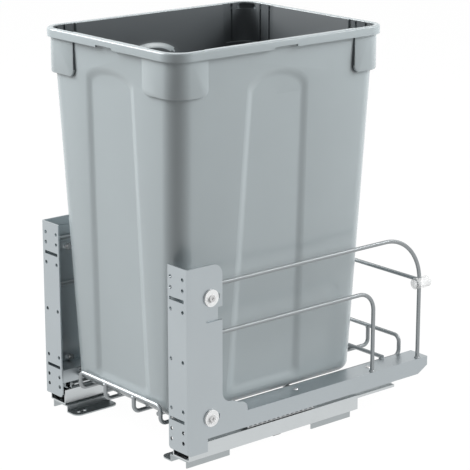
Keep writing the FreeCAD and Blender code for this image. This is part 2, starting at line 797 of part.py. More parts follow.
def make_rivets(name, places, low, high):
    """Rivets through the sheets between two heights, with a low head on each side."""
    wide, narrow = "rivet_head / 2", "rivet_head / 2 - rivet_head_high"
    rivets = []
    for place in places:
        y = door_y(place)
        part = "%s_%d" % (name, len(rivets))
        stem = primitive("Cylinder", part + "_stem",
                         {"Radius": "rivet / 2", "Height": "%s - (%s)" % (high, low)},
                         (SLIDE_X, y, low))
        lower = primitive("Cone", part + "_lower_head",
                          {"Radius1": narrow, "Radius2": wide, "Height": "rivet_head_high"},
                          (SLIDE_X, y, "%s - rivet_head_high" % low))
        upper = primitive("Cone", part + "_upper_head",
                          {"Radius1": wide, "Radius2": narrow, "Height": "rivet_head_high"},
                          (SLIDE_X, y, high))
        rivets.append(joined(part, [stem, lower, upper]))
    return group_piece(name, rivets)


# ---------------------------------------------------------------- adjusters
def make_disc(name, face, y, z):
    """A washer against the bracket's outer face."""
    disc = primitive("Cylinder", name + "_blank",
                     {"Radius": "adjuster_disc / 2", "Height": "adjuster_disc_high"},
                     (face, y, z), ALONG_X)
    bore = primitive("Cylinder", name + "_bore",
                     {"Radius": "adjuster_screw / 2", "Height": "adjuster_disc_high"},
                     (face, y, z), ALONG_X)
    return cut_from(name, disc, bore)


def make_screw(name, face, back, y, z):
    """A screw from its head on the washer to its tail behind the nut."""
    start = "(%s - adjuster_nut_high - adjuster_end)" % back
    seat = "(%s + adjuster_disc_high)" % face
    shank = primitive("Cylinder", name + "_shank",
                      {"Radius": "adjuster_screw / 2", "Height": "%s - %s" % (seat, start)},
                      (start, y, z), ALONG_X)
    head = primitive("Cylinder", name + "_head",
                     {"Radius": "adjuster_head / 2", "Height": "adjuster_head_high"},
                     (seat, y, z), ALONG_X)
    bars = []
    for long_y, long_z in (("recess_across", "recess_wide"), ("recess_wide", "recess_across")):
        bars.append(primitive(
            "Box", name + "_bar_" + long_y,
            {"Length": "recess_deep", "Width": long_y, "Height": long_z},
            ("%s + adjuster_head_high - recess_deep" % seat, "%s - %s / 2" % (y, long_y),
             "%s - %s / 2" % (z, long_z))))
    return cut_from(name, joined(name + "_blank", [shank, head]),
                    joined(name + "_recess", bars))


def make_nut(name, back, y, z):
    """A hexagon nut behind the upright."""
    start = "(%s - adjuster_nut_high)" % back
    hexagon = primitive("Prism", name + "_blank",
                        {"Circumradius": "adjuster_nut / 3 ^ 0.5",
                         "Height": "adjuster_nut_high"}, (start, y, z), ALONG_X)
    hexagon.Polygon = 6
    bore = primitive("Cylinder", name + "_bore",
                     {"Radius": "adjuster_screw / 2", "Height": "adjuster_nut_high"},
                     (start, y, z), ALONG_X)
    return cut_from(name, hexagon, bore)


def make_adjusters():
    """White washers, cross-recess screws and nuts that clamp the bracket to the upright."""
    face = "(frame_width / 2)"
    back = "(%s - rail_sheet)" % FRAME_SIDE
    y = door_y("adjuster_depth")
    discs, screws, nuts = [], [], []
    for level, z in (("upper", UPPER_ADJUSTER), ("lower", LOWER_ADJUSTER)):
        discs.append(make_disc(level + "_disc", face, y, z))
        screws.append(make_screw(level + "_screw", face, back, y, z))
        nuts.append(make_nut(level + "_nut", back, y, z))
    return [group_piece("adjuster_%s_right" % name, group)
            for name, group in (("discs", discs), ("screws", screws), ("nuts", nuts))]


# ---------------------------------------------------------------- wires
def bent_wire(points, bends):
    """A round wire along straight runs joined by tangent arcs, one radius for each corner."""
    edges = []
    start = points[0]
    for number, radius in enumerate(bends, start=1):
        corner = points[number]
        come = (corner - points[number - 1]).normalize()
        leave = (points[number + 1] - corner).normalize()
        back = radius * ((1 - come.dot(leave)) / (1 + come.dot(leave))) ** 0.5
        arc_start, arc_end = corner - come * back, corner + leave * back
        centre_way = (leave - come).normalize()
        middle = corner + centre_way * ((radius ** 2 + back ** 2) ** 0.5 - radius)
        edges.append(Part.LineSegment(start, arc_start).toShape())
        edges.append(Part.Arc(arc_start, middle, arc_end).toShape())
        start = arc_end
    edges.append(Part.LineSegment(start, points[-1]).toShape())
    path = Part.Wire(edges)
    first_way = (points[1] - points[0]).normalize()
    ring = Part.Wire(Part.makeCircle(size("wire") / 2, points[0], first_way))
    solid = path.makePipeShell([ring], True, True)
    expected = 3.14159265 * (size("wire") / 2) ** 2 * path.Length
    if abs(solid.Volume - expected) > expected * 0.01:
        raise ValueError("a wire's volume is off its section times its length")
    return solid


def place(x, y, z):
    """A point from expressions, with Y measured back from the door plane."""
    return Vector(sheet_value(x), sheet_value(door_y(y)), sheet_value(z))


def make_side_wires():
    """The two loops above the rail, each welded to the upright and to the rail's top."""
    pieces = []
    for name, rear in (("upper", UPPER_REAR), ("lower", "lower_wire_rear")):
        height = name + "_wire_height"
        points = [place(SIDE_WIRE_X, "side_wire_start", height),
                  place(SIDE_WIRE_X, rear, height), place(SIDE_WIRE_X, rear, "rail_top")]
        solid = bent_wire(points, [size(name + "_wire_round")])
        pieces.append(solid_piece(name + "_side_wire_right", solid))
    return pieces


def cross_wire(name, half, y, height):
    """A straight wire from side to side."""
    wire = primitive("Cylinder", name, {"Radius": "wire / 2", "Height": "2 * %s" % half},
                     ("-" + half, door_y(y), height), ALONG_X)
    return labelled(wire, name)


def make_cross_wires():
    """Straight wires across the kit: two under the bin and two behind it."""
    inside = "(%s - rail_width)" % FRAME_SIDE
    return [cross_wire("cross_wire_front", inside, "cross_front", "cross_height"),
            cross_wire("cross_wire_middle", inside, "cross_middle", "cross_height"),
            cross_wire("cross_wire_rear", inside, CROSS_REAR, "%s + wire" % GUARD_RUN),
            cross_wire("rear_cross_wire", "(%s - wire / 2)" % SIDE_WIRE_X, UPPER_REAR,
                       REAR_CROSS)]


def make_cradle():
    """The bent wires that hold the bin at its front, its underside and its rear."""
    bend = size("wire_bend")
    bar = [place("-bar_half", "bar_run_end", FLOOR_RUN),
           place("-bar_half", "bar_front", FLOOR_RUN),
           place("-bar_half", "bar_front", "bar_height"),
           place("bar_half", "bar_front", "bar_height"),
           place("bar_half", "bar_front", FLOOR_RUN),
           place("bar_half", "bar_run_end", FLOOR_RUN)]
    pieces = [solid_piece("cradle_front_bar", bent_wire(bar, [bend] * 4))]
    guard = [place("-" + GUARD_HALF, "run_start", GUARD_RUN),
             place("-" + GUARD_HALF, GUARD_REAR, GUARD_RUN),
             place("-" + GUARD_HALF, GUARD_REAR, "guard_height"),
             place(GUARD_HALF, GUARD_REAR, "guard_height"),
             place(GUARD_HALF, GUARD_REAR, GUARD_RUN),
             place(GUARD_HALF, "run_start", GUARD_RUN)]
    pieces.append(solid_piece("cradle_rear_guard", bent_wire(guard, [bend] * 4)))
    drop = "(%s - floor_drop_lead)" % GUARD_REAR
    for name, side in (("left", "-"), ("right", "")):
        half = side + "bar_leg_half"
        leg = [place(half, "bar_front", "bar_height - wire / 2"),
               place(half, "bar_front", FLOOR_RUN), place(half, "bar_run_end", FLOOR_RUN)]
        pieces.append(solid_piece("cradle_front_leg_" + name, bent_wire(leg, [bend])))
        half = side + "guard_leg_half"
        run = [place(half, GUARD_REAR, "guard_height - wire / 2"),
               place(half, GUARD_REAR, GUARD_RUN), place(half, drop, GUARD_RUN),
               place(half, drop + " - floor_drop_run", FLOOR_RUN),
               place(half, "run_start", FLOOR_RUN)]
        pieces.append(solid_piece("cradle_floor_wire_" + name, bent_wire(run, [bend] * 3)))
    return pieces


def make_bumper():
    """A plastic barrel pushed over the rear upright of the upper side wire."""
    owner = body("bumper_barrel")
    ring = sketch_on(owner, "bumper_outline", "XZ_Plane", "-" + door_y("rear_reach"))
    add_circle(ring, SIDE_WIRE_X, BUMPER_HEIGHT, "bumper_across")
    pad(owner, ring, "bumper_length", "bumper_lead + bumper_tail")
    round_edges(owner, "bumper_rims", "bumper_round", lambda middle, edge: edge.Closed)
    bore = "wire / 2 + bumper_clearance"
    upright = primitive("Cylinder", "bumper_upright_hole",
                        {"Radius": bore, "Height": "bumper_across"},
                        (SIDE_WIRE_X, door_y(UPPER_REAR),
                         BUMPER_HEIGHT + " - bumper_across / 2"))
    cross = primitive("Cylinder", "bumper_cross_hole",
                      {"Radius": bore, "Height": "bumper_across / 2"},
                      (SIDE_WIRE_X, door_y(UPPER_REAR), REAR_CROSS), ACROSS)
    return labelled(cut_from("rear_bumper_right", owner,
                             joined("bumper_holes", [upright, cross])), "rear_bumper_right")


# ---------------------------------------------------------------- bin
def rounded_rectangle(width, length, radius, centre_y, z):
    """A closed wire in a level plane."""
    half_x, half_y = width / 2, length / 2
    corners = [(1, 1), (-1, 1), (-1, -1), (1, -1)]
    edges = []
    ends = []
    diagonal = radius * (1 - 0.5 ** 0.5)
    for sign_x, sign_y in corners:
        first = Vector(sign_x * half_x, centre_y + sign_y * (half_y - radius), z)
        second = Vector(sign_x * (half_x - radius), centre_y + sign_y * half_y, z)
        if sign_x * sign_y < 0:
            first, second = second, first
        middle = Vector(sign_x * (half_x - diagonal), centre_y + sign_y * (half_y - diagonal), z)
        edges.append(Part.Arc(first, middle, second).toShape())
        ends.append((first, second))
    wire = []
    for number, edge in enumerate(edges):
        wire.append(edge)
        wire.append(Part.LineSegment(ends[number][1], ends[(number + 1) % 4][0]).toShape())
    return Part.Wire(wire)


def level_solid(width, length, radius, centre_y, low, high):
    face = Part.Face(rounded_rectangle(width, length, radius, centre_y, low))
    return face.extrude(Vector(0, 0, high - low))


def bin_loft(inset, low, high):
    """The tapered body, drawn in by inset on every side, between two heights."""
    centre_y = bin_centre()
    bottom = sheet_value(BIN_BOTTOM)
    top = size("rim_height")
    rim_width, rim_length = sheet_value(RIM_WIDTH), sheet_value(RIM_LENGTH)
    low_width = rim_width - 2 * size("bin_side_draw")
    low_length = rim_length - 2 * size("bin_end_draw")
    top_width = rim_width - 2 * size("rim_overhang")
    top_length = rim_length - 2 * size("rim_overhang")
    sections = []
    for z in (low, high):
        share = (z - bottom) / (top - bottom)
        width = low_width + (top_width - low_width) * share
        length = low_length + (top_length - low_length) * share
        top_round = size("rim_round") - size("rim_overhang") / 2
        radius = size("bin_bottom_round") + (top_round - size("bin_bottom_round")) * share
        sections.append(rounded_rectangle(width - 2 * inset, length - 2 * inset,
                                          radius - inset, centre_y, z))
    return Part.makeLoft(sections, True, True)


def bin_centre():
    return sheet_value(door_y(RIM_LENGTH + " / 2 - rim_lead"))


def arch_prism(width, low, high, arch, across, centre, reach):
    """An upright outline with an arched top, drawn out to both sides through the bin."""
    spring = high - arch
    half = width / 2
    points = [(-half, low), (half, low), (half, spring)]
    top = Part.Arc(Vector(half, 0, spring), Vector(0, 0, high), Vector(-half, 0, spring))
    edges = [Part.LineSegment(Vector(a, 0, b), Vector(c, 0, d)).toShape()
             for (a, b), (c, d) in zip(points[:-1], points[1:])]
    edges += [top.toShape(),
              Part.LineSegment(Vector(-half, 0, spring), Vector(-half, 0, low)).toShape()]
    face = Part.Face(Part.Wire(edges))
    face.translate(Vector(0, -reach, 0))
    prism = face.extrude(Vector(0, 2 * reach, 0))
    if across == "X":
        prism.rotate(Vector(0, 0, 0), Vector(0, 0, 1), 90)
    prism.translate(Vector(0, centre, 0))
    return prism


def corner_posts(centre_y, low, high):
    """Four blocks at the corners with rounded lower ends, which bound the corner pads."""
    reach_x, reach_y = size("pad_front_reach"), size("pad_side_reach")
    radius = size("pad_round")
    half_x, half_y = sheet_value(RIM_WIDTH) / 2, sheet_value(RIM_LENGTH) / 2
    posts = []
    for sign_x in (-1, 1):
        for sign_y in (-1, 1):
            x = half_x if sign_x > 0 else -half_x
            y = half_y if sign_y > 0 else -half_y
            block = Part.makeBox(2 * reach_x, 2 * reach_y, high - low,
                                 Vector(x - reach_x, centre_y + y - reach_y, low))
            lower = [edge for edge in block.Edges
                     if near(edge.CenterOfMass.z, low)]
            posts.append(block.makeFillet(radius, lower))
    return posts


def make_bin():
    """The bin: tapered walls, a turned-down rim, corner pads and arched recesses."""
    centre_y = bin_centre()
    bottom, top = sheet_value(BIN_BOTTOM), size("rim_height")
    wall = size("bin_wall")
    width, length = sheet_value(RIM_WIDTH), sheet_value(RIM_LENGTH)
    radius = size("rim_round")
    skirt_low = top - size("rim_band")
    body_solid = bin_loft(0, bottom, top)
    low_edges = [edge for edge in body_solid.Edges if near(edge.CenterOfMass.z, bottom)]
    body_solid = body_solid.makeFillet(size("bin_edge_round"), low_edges)

    skin = bin_loft(0, bottom, top).cut(bin_loft(size("panel_depth"), bottom, top))
    arches = []
    for across, wide in (("Y", "panel_front_width"), ("X", "panel_side_width")):
        arches.append(arch_prism(size(wide), size("panel_bottom"), size("panel_top"),
                                 size("panel_arch"), across, centre_y, length))
    body_solid = body_solid.cut([skin.common(arch) for arch in arches])

    pad_low = top - size("pad_low")
    inset = size("pad_inset")
    pad_ring = level_solid(width - 2 * inset, length - 2 * inset, radius - inset, centre_y,
                           pad_low, top)
    pads = [pad_ring.common(post) for post in corner_posts(centre_y, pad_low, top)]
    rim = level_solid(width, length, radius, centre_y, skirt_low, top)
    sheet_inset = size("rim_sheet")
    under = level_solid(width - 2 * sheet_inset, length - 2 * sheet_inset, radius - sheet_inset,
                        centre_y, skirt_low, top - sheet_inset)
    rim = rim.cut(under)
    whole = body_solid.fuse(pads + [rim])

    floor = bottom + size("bin_floor")
    inside = bin_loft(wall, floor, top)
    low_edges = [edge for edge in inside.Edges if near(edge.CenterOfMass.z, floor)]
    inside = inside.makeFillet(size("bin_edge_round") - wall, low_edges)
    whole = whole.cut(inside)
    grip = size("grip_high")
    front_grip = Part.makeBox(size("grip_front"), 2 * length, grip,
                              Vector(-size("grip_front") / 2, centre_y - length, skirt_low))
    side_grip = Part.makeBox(2 * width, size("grip_side"), grip,
                             Vector(-width, centre_y - size("grip_side") / 2, skirt_low))
    body_keep = bin_loft(0, skirt_low, top)
    whole = whole.cut([front_grip.cut(body_keep), side_grip.cut(body_keep)])
    return solid_piece("waste_bin", whole.removeSplitter())


# ---------------------------------------------------------------- assembly
def make_right_side():
    """Every piece of the right-hand side, by node name."""
    pieces = [make_side_rail(), make_upright(), make_door_bracket(), make_cabinet_member(),
              make_middle_member(), make_carriage_member()]
    pieces += make_side_wires()
    pieces += make_lower_balls()
    pieces += make_upper_balls()
    pieces.append(make_foot("front_foot_right", "front_foot_start"))
    pieces.append(make_foot("rear_foot_right", "rear_foot_start"))
    pieces.append(make_rivets("foot_rivets_right", foot_rivet_places(),
                              "foot_high - foot_sheet", "foot_high + slide_sheet"))
    rail_places = ["rail_rivet_start + %d * rail_rivet_pitch" % n for n in range(RAIL_RIVETS)]
    pieces.append(make_rivets("rail_rivets_right", rail_places,
                              "%s - slide_sheet" % CARRIAGE_TOP, "rail_top"))
    pieces += make_adjusters()
    pieces.append(make_bumper())
    return pieces


def check_document():
    doc.recompute()
    for thing in doc.Objects:
        if any(state in ("Invalid", "Error") for state in thing.State):
            raise ValueError("%s failed: %s" % (thing.Name, thing.State))


def main():
    right = make_right_side()
    doc.recompute()
    left = [mirrored(piece, piece.Name.replace("_right", "_left")) for piece in right]
    nodes = right + left + make_cross_wires() + make_cradle() + [make_bin()]
    check_document()
    os.makedirs("parts", exist_ok=True)
    for node in nodes:
        node.Label = node.Name
        shape = node.Shape
        if shape.isNull() or not shape.isValid():
            raise ValueError("%s has no valid shape" % node.Name)
        shape.exportStep("parts/%s.step" % node.Label)
    print("%d nodes" % len(nodes))


main()
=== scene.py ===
"""The looks of the pull-out waste bin kit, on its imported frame. Metres, +Z up, -Y front."""
import json
import math

import bmesh
import bpy
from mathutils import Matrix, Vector


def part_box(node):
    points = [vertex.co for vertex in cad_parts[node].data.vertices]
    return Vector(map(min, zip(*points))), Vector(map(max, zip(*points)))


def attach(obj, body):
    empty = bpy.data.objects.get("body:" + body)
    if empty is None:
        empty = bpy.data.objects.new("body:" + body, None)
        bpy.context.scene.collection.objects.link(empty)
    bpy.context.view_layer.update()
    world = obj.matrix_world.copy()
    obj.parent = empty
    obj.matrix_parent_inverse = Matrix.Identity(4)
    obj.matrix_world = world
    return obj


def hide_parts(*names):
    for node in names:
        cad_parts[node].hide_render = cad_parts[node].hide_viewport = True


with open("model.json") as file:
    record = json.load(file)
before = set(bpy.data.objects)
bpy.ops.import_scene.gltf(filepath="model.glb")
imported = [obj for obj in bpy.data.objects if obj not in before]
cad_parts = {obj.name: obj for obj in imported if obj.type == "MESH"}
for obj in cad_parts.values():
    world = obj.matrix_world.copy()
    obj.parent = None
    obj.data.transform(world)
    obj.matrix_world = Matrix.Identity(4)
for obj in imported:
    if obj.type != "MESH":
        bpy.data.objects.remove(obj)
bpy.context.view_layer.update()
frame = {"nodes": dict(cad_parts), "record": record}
MM = 0.001
SAME = 1e-5  # two places nearer than this, in metres, count as one
BOTH_SIDES = (-1, 1)
CORNERS = [(side_x, side_y) for side_x in BOTH_SIDES for side_y in BOTH_SIDES]

# ---------------------------------------------------------------- the bin, read from the frame
RIM_LOW, RIM_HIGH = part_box("waste_bin")
RIM_TOP = RIM_HIGH.z
BIN_BOTTOM = RIM_LOW.z
BIN_CENTRE = (RIM_LOW + RIM_HIGH) / 2
RIM_WIDTH = RIM_HIGH.x - RIM_LOW.x
RIM_LENGTH = RIM_HIGH.y - RIM_LOW.y
RIM_BAND = 10 * MM
RIM_ROUND = 27 * MM
RIM_SHEET = 2.5 * MM
RIM_OVERHANG = 6 * MM
GRIP_HIGH = 2.6 * MM
GRIP_HALF_FRONT = 15 * MM
GRIP_HALF_SIDE = 17.5 * MM
GRIP_WEB = 0.4 * MM
WALL = 3 * MM
BASE_WIDTH = 200 * MM
BASE_LENGTH = 284 * MM
WALL_ROUND = 24.5 * MM
BASE_ROUND = 11 * MM
PAD_INSET = 4 * MM
PAD_REACH = {"x": 64 * MM, "y": 52 * MM}
PAD_LOW = 53 * MM
PAD_ROUND = 9 * MM
PAD_EDGE = 2.2 * MM
LEDGE_LEVEL = 300 * MM
GROOVE_HALF = 1.5 * MM
GROOVE_DEPTH = 1.4 * MM
# how far each groove stands back from the rim's edge, on the side walls and the end walls
SIDE_GROOVES = (33 * MM,)
END_GROOVES = (33 * MM, 50 * MM)
# steps from a panel's flat to the wall: how far out along the wall, and how far up
PANEL_PROFILE = [(out * MM, up * MM) for out, up in
                 ((2, 0.2), (2, 0.6), (2, 0.8), (2, 0.65), (2, 0.4), (1.6, 0.2))]
PANEL_DEPTH = sum(up for out, up in PANEL_PROFILE)
PANEL_TOP = 434.2 * MM
PANEL_BOTTOM = 70 * MM
# half width at the foot and at the top, rise of the arch, sideways place of the foot, tilt
FRONT_PANEL = {"foot": 41.7 * MM, "top": 35.2 * MM, "arch": 14 * MM, "shift": 0, "tilt": 0}
SIDE_PANEL = {"foot": 44.2 * MM, "top": 35.7 * MM, "arch": 20 * MM, "shift": -8 * MM,
              "tilt": 4 / 370}

# ---------------------------------------------------------------- the camera of the photograph
CAMERA_PLACE = Vector((1.71594, -1.44902, 0.84127))
CAMERA_TARGET = Vector((0.04542, -0.04115, 0.23263))
CAMERA_LENS = 146.0
CAMERA_SENSOR = 36.0

# ---------------------------------------------------------------- the studio
FLOOR_SIZE = 12
FLOOR_TONE = 0.32
FLOOR_GLOW = 1.06
FLOOR_GLOW_SHARE = 0.93
FILL_STRENGTH = 0.15
WHITE_STRENGTH = 1.0
# name, place, target, width, height, power, shows in gloss
LAMPS = (
    ("left_softbox", (-1.5, -1.3, 1.65), (0, 0, 0.35), 1.8, 1.6, 104, True),
    ("right_softbox", (1.25, 1.5, 1.05), (0, 0, 0.25), 1.9, 1.5, 54, False),
    ("strip_light", (0.95, 1.3, 1.35), (0, 0, 0.25), 0.9, 0.35, 9, True),
    ("top_softbox", (0.0, 0.0, 2.6), (0, 0, 0.2), 1.6, 1.6, 4, True),
)


# ---------------------------------------------------------------- modelling helpers
def deselect_all():
    bpy.ops.object.select_all(action="DESELECT")


def make_active(piece):
    """Makes one piece the only selected one and the active one."""
    deselect_all()
    piece.select_set(True)
    bpy.context.view_layer.objects.active = piece


def set_place(piece):
    """Puts the piece's place into its mesh, so its object sits at the origin."""
    make_active(piece)
    bpy.ops.object.transform_apply(location=True, rotation=True, scale=True)


def add_block(name, low, high):
    """A block between two corners."""
    deselect_all()
    middle = (Vector(low) + Vector(high)) / 2
    bpy.ops.mesh.primitive_cube_add(size=1, location=middle)
    piece = bpy.context.object
    piece.name = name
    piece.scale = Vector(high) - Vector(low)
    set_place(piece)
    return piece


def add_tube(name, radius, depth, middle, sides=48, turn=(0, 0, 0)):
    """A cylinder about Z, turned if asked."""
    deselect_all()
    bpy.ops.mesh.primitive_cylinder_add(vertices=sides, radius=radius, depth=depth,
                                        location=middle, rotation=turn)
    piece = bpy.context.object
    piece.name = name
    set_place(piece)
    return piece


def pick(piece, kind, test):
    """Enters edit mode with only the vertices, edges or faces that pass the test selected."""
    make_active(piece)
    bpy.ops.object.mode_set(mode="EDIT")
    bpy.ops.mesh.select_mode(type=kind)
    bpy.ops.mesh.select_all(action="DESELECT")
    mesh = bmesh.from_edit_mesh(piece.data)
    mesh.normal_update()
    chosen = {"VERT": mesh.verts, "EDGE": mesh.edges, "FACE": mesh.faces}[kind]
    count = 0
    for part in chosen:
        if test(part):
            part.select_set(True)
            count += 1
    mesh.select_flush_mode()
    bmesh.update_edit_mesh(piece.data)
    if not count:
        raise ValueError("%s: nothing to pick" % piece.name)


def leave_edit():
    bpy.ops.object.mode_set(mode="OBJECT")


def middle_of(edge):
    return (edge.verts[0].co + edge.verts[1].co) / 2


def is_upright(edge):
    """True for an edge that runs mostly up and down."""
    along = (edge.verts[1].co - edge.verts[0].co).normalized()
    return abs(along.z) > 0.9


def at_height(z):
    """A test for edges that lie level at one height."""
    return lambda edge: all(abs(corner.co.z - z) < SAME for corner in edge.verts)


def round_edges(piece, width, segments, test):
    """Rounds the edges that pass the test."""
    pick(piece, "EDGE", test)
    bpy.ops.mesh.bevel(offset=width, segments=segments, affect="EDGES", clamp_overlap=True)
    leave_edit()


def combine(piece, other, how):
    """Joins or cuts the piece with another one, which is then removed."""
    make_active(piece)
    step = piece.modifiers.new(how.lower(), "BOOLEAN")
    step.operation = how
    step.solver = "EXACT"
    step.object = other
    bpy.ops.object.modifier_apply(modifier=step.name)
    bpy.data.objects.remove(other)


def join_all(pieces):
    """Makes one mesh of all the pieces, in the object of the first one."""
    make_active(pieces[0])
    for piece in pieces:
        piece.select_set(True)
    bpy.ops.object.join()
    return pieces[0]


def tidy_mesh(piece):
    """Merges doubled corners and turns the faces outwards."""
    make_active(piece)
    bpy.ops.object.mode_set(mode="EDIT")
    bpy.ops.mesh.select_all(action="SELECT")
    bpy.ops.mesh.remove_doubles(threshold=0.01 * MM)
    bpy.ops.mesh.normals_make_consistent(inside=False)
    leave_edit()


def finish_piece(piece, material, body, angle=30):
    """Smooth shading, material, and the body that the piece rides on."""
    make_active(piece)
    bpy.ops.object.shade_smooth_by_angle(angle=math.radians(angle))
    piece.data.materials.clear()
    piece.data.materials.append(material)
    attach(piece, body)


# ---------------------------------------------------------------- materials
def group_socket(group, name, kind, way, value=None):
    """Adds one named input or output to a node group."""
    socket = group.interface.new_socket(name=name, in_out=way, socket_type="NodeSocket" + kind)
    if value is not None:
        socket.default_value = value


def make_mottle_group():
    """Soft uneven tone and a fine grain: a colour, a roughness and a height for a surface."""
    group = bpy.data.node_groups.new("mottle", "ShaderNodeTree")
    group_socket(group, "Colour", "Color", "INPUT", (0.5, 0.5, 0.5, 1))
    for name, value in (("Tone spread", 0.04), ("Roughness", 0.4), ("Roughness spread", 0.06),
                        ("Cloud scale", 20.0), ("Grain scale", 900.0)):
        group_socket(group, name, "Float", "INPUT", value)
    group_socket(group, "Colour", "Color", "OUTPUT")
    group_socket(group, "Roughness", "Float", "OUTPUT")
    group_socket(group, "Grain", "Float", "OUTPUT")
    nodes, links = group.nodes, group.links
    take = nodes.new("NodeGroupInput")
    give = nodes.new("NodeGroupOutput")
    place = nodes.new("ShaderNodeTexCoord")
    cloud = nodes.new("ShaderNodeTexNoise")
    cloud.inputs["Detail"].default_value = 3.0
    grain = nodes.new("ShaderNodeTexNoise")
    grain.inputs["Detail"].default_value = 1.0
    for noise, scale in ((cloud, "Cloud scale"), (grain, "Grain scale")):
        links.new(place.outputs["Object"], noise.inputs["Vector"])
        links.new(take.outputs[scale], noise.inputs["Scale"])
    centred = nodes.new("ShaderNodeMath")
    centred.operation = "SUBTRACT"
    centred.inputs[1].default_value = 0.5
    links.new(cloud.outputs["Fac"], centred.inputs[0])
    tone = nodes.new("ShaderNodeMath")
    tone.operation = "MULTIPLY_ADD"
    tone.inputs[2].default_value = 1.0
    links.new(centred.outputs[0], tone.inputs[0])
    links.new(take.outputs["Tone spread"], tone.inputs[1])
    tint = nodes.new("ShaderNodeVectorMath")
    tint.operation = "SCALE"
    links.new(take.outputs["Colour"], tint.inputs[0])
    links.new(tone.outputs[0], tint.inputs["Scale"])
    rough = nodes.new("ShaderNodeMath")
    rough.operation = "MULTIPLY_ADD"
    links.new(centred.outputs[0], rough.inputs[0])
    links.new(take.outputs["Roughness spread"], rough.inputs[1])
    links.new(take.outputs["Roughness"], rough.inputs[2])
    links.new(tint.outputs[0], give.inputs["Colour"])
    links.new(rough.outputs[0], give.inputs["Roughness"])
    links.new(grain.outputs["Fac"], give.inputs["Grain"])
    return group


def make_material(name, mottle, colour, roughness, metallic=0.0, tone=0.04, spread=0.06,
                  cloud=20.0, grain=900.0, bump=0.02, specular=0.5):
    """A finish from the mottle group and one shader."""
    material = bpy.data.materials.new(name)
    material.use_nodes = True
    nodes, links = material.node_tree.nodes, material.node_tree.links
    shader = nodes["Principled BSDF"]
    shader.inputs["Metallic"].default_value = metallic
    shader.inputs["Specular IOR Level"].default_value = specular
    effect = nodes.new("ShaderNodeGroup")
    effect.node_tree = mottle
    effect.inputs["Colour"].default_value = (*colour, 1)
    effect.inputs["Tone spread"].default_value = tone
    effect.inputs["Roughness"].default_value = roughness
    effect.inputs["Roughness spread"].default_value = spread
    effect.inputs["Cloud scale"].default_value = cloud
    effect.inputs["Grain scale"].default_value = grain
    relief = nodes.new("ShaderNodeBump")
    relief.inputs["Strength"].default_value = bump
    relief.inputs["Distance"].default_value = 0.2 * MM
    links.new(effect.outputs["Colour"], shader.inputs["Base Color"])
    links.new(effect.outputs["Roughness"], shader.inputs["Roughness"])
    links.new(effect.outputs["Grain"], relief.inputs["Height"])
    links.new(relief.outputs["Normal"], shader.inputs["Normal"])
    return material


def make_materials():
    mottle = make_mottle_group()
    made = {
        "bin_grey": make_material("grey moulded plastic", mottle, (0.345, 0.39, 0.405), 0.24,
                                  tone=0.04, spread=0.04, grain=1400, bump=0.03,
                                  specular=0.6),
        # the inside's far darker colour is painted shade inside the bin; its roughness and grain
        # are the moulding's own
        "bin_inside": make_material("grey plastic with painted inside shade", mottle, (0.08, 0.09, 0.096), 0.5,
                                    tone=0.04, grain=1100, bump=0.05, specular=0.3),
        "frame_silver": make_material("satin silver sheet", mottle, (0.44, 0.48, 0.50), 0.36,
                                      metallic=1.0, tone=0.06, grain=1100, bump=0.03),
        "wire_silver": make_material("silver wire", mottle, (0.31, 0.33, 0.34), 0.44,
                                     metallic=1.0, tone=0.05, grain=700, bump=0.02),
        "slide_zinc": make_material("zinc slide", mottle, (0.58, 0.61, 0.62), 0.3,
                                    metallic=1.0, tone=0.08, cloud=45, grain=800, bump=0.03),
        "foot_zinc": make_material("zinc foot", mottle, (0.40, 0.43, 0.44), 0.32,
                                   metallic=1.0, tone=0.08, cloud=45, grain=800, bump=0.03),
        "screw_steel": make_material("plated steel", mottle, (0.62, 0.62, 0.62), 0.25,
                                     metallic=1.0, tone=0.04, cloud=200, bump=0.02),
        "disc_white": make_material("white moulded plastic", mottle, (0.90, 0.91, 0.91), 0.35,
                                    tone=0.02, cloud=150, grain=2000, bump=0.03),
        "bumper_clear": make_material("milky plastic", mottle, (0.93, 0.94, 0.94), 0.4,
                                      tone=0.02, cloud=150, grain=2000, bump=0.02),
        "ball_steel": make_material("polished ball", mottle, (0.72, 0.73, 0.74), 0.12,
                                    metallic=1.0, tone=0.02, cloud=300, bump=0.0),
        "cage_steel": make_material("cage steel", mottle, (0.42, 0.43, 0.44), 0.4,
                                    metallic=1.0, tone=0.06, cloud=150, bump=0.03),
    }
    made["stop_black"] = make_material("black plastic", mottle, (0.02, 0.02, 0.021), 0.45,
                                       tone=0.1, cloud=150, grain=2000, bump=0.03)
    milky = made["bumper_clear"].node_tree.nodes["Principled BSDF"]
    milky.inputs["Alpha"].default_value = 0.4
    return made


def dress_frame(materials):
    """Gives every CAD node the finish of its slot."""
    slots = {part["node"]: part["material_slot"] for part in frame["record"]["subparts"]}
    for name, node in frame["nodes"].items():
        node.data.materials.clear()
        node.data.materials.append(materials[slots[name]])


# ---------------------------------------------------------------- the bin
def share_at(z):
    """0 at the bin's underside and 1 at the rim's top."""
    return (z - BIN_BOTTOM) / (RIM_TOP - BIN_BOTTOM)


def half_width_at(z):
    top = RIM_WIDTH - 2 * RIM_OVERHANG
    return (BASE_WIDTH + (top - BASE_WIDTH) * share_at(z)) / 2


def half_length_at(z):
    top = RIM_LENGTH - 2 * RIM_OVERHANG
    return (BASE_LENGTH + (top - BASE_LENGTH) * share_at(z)) / 2


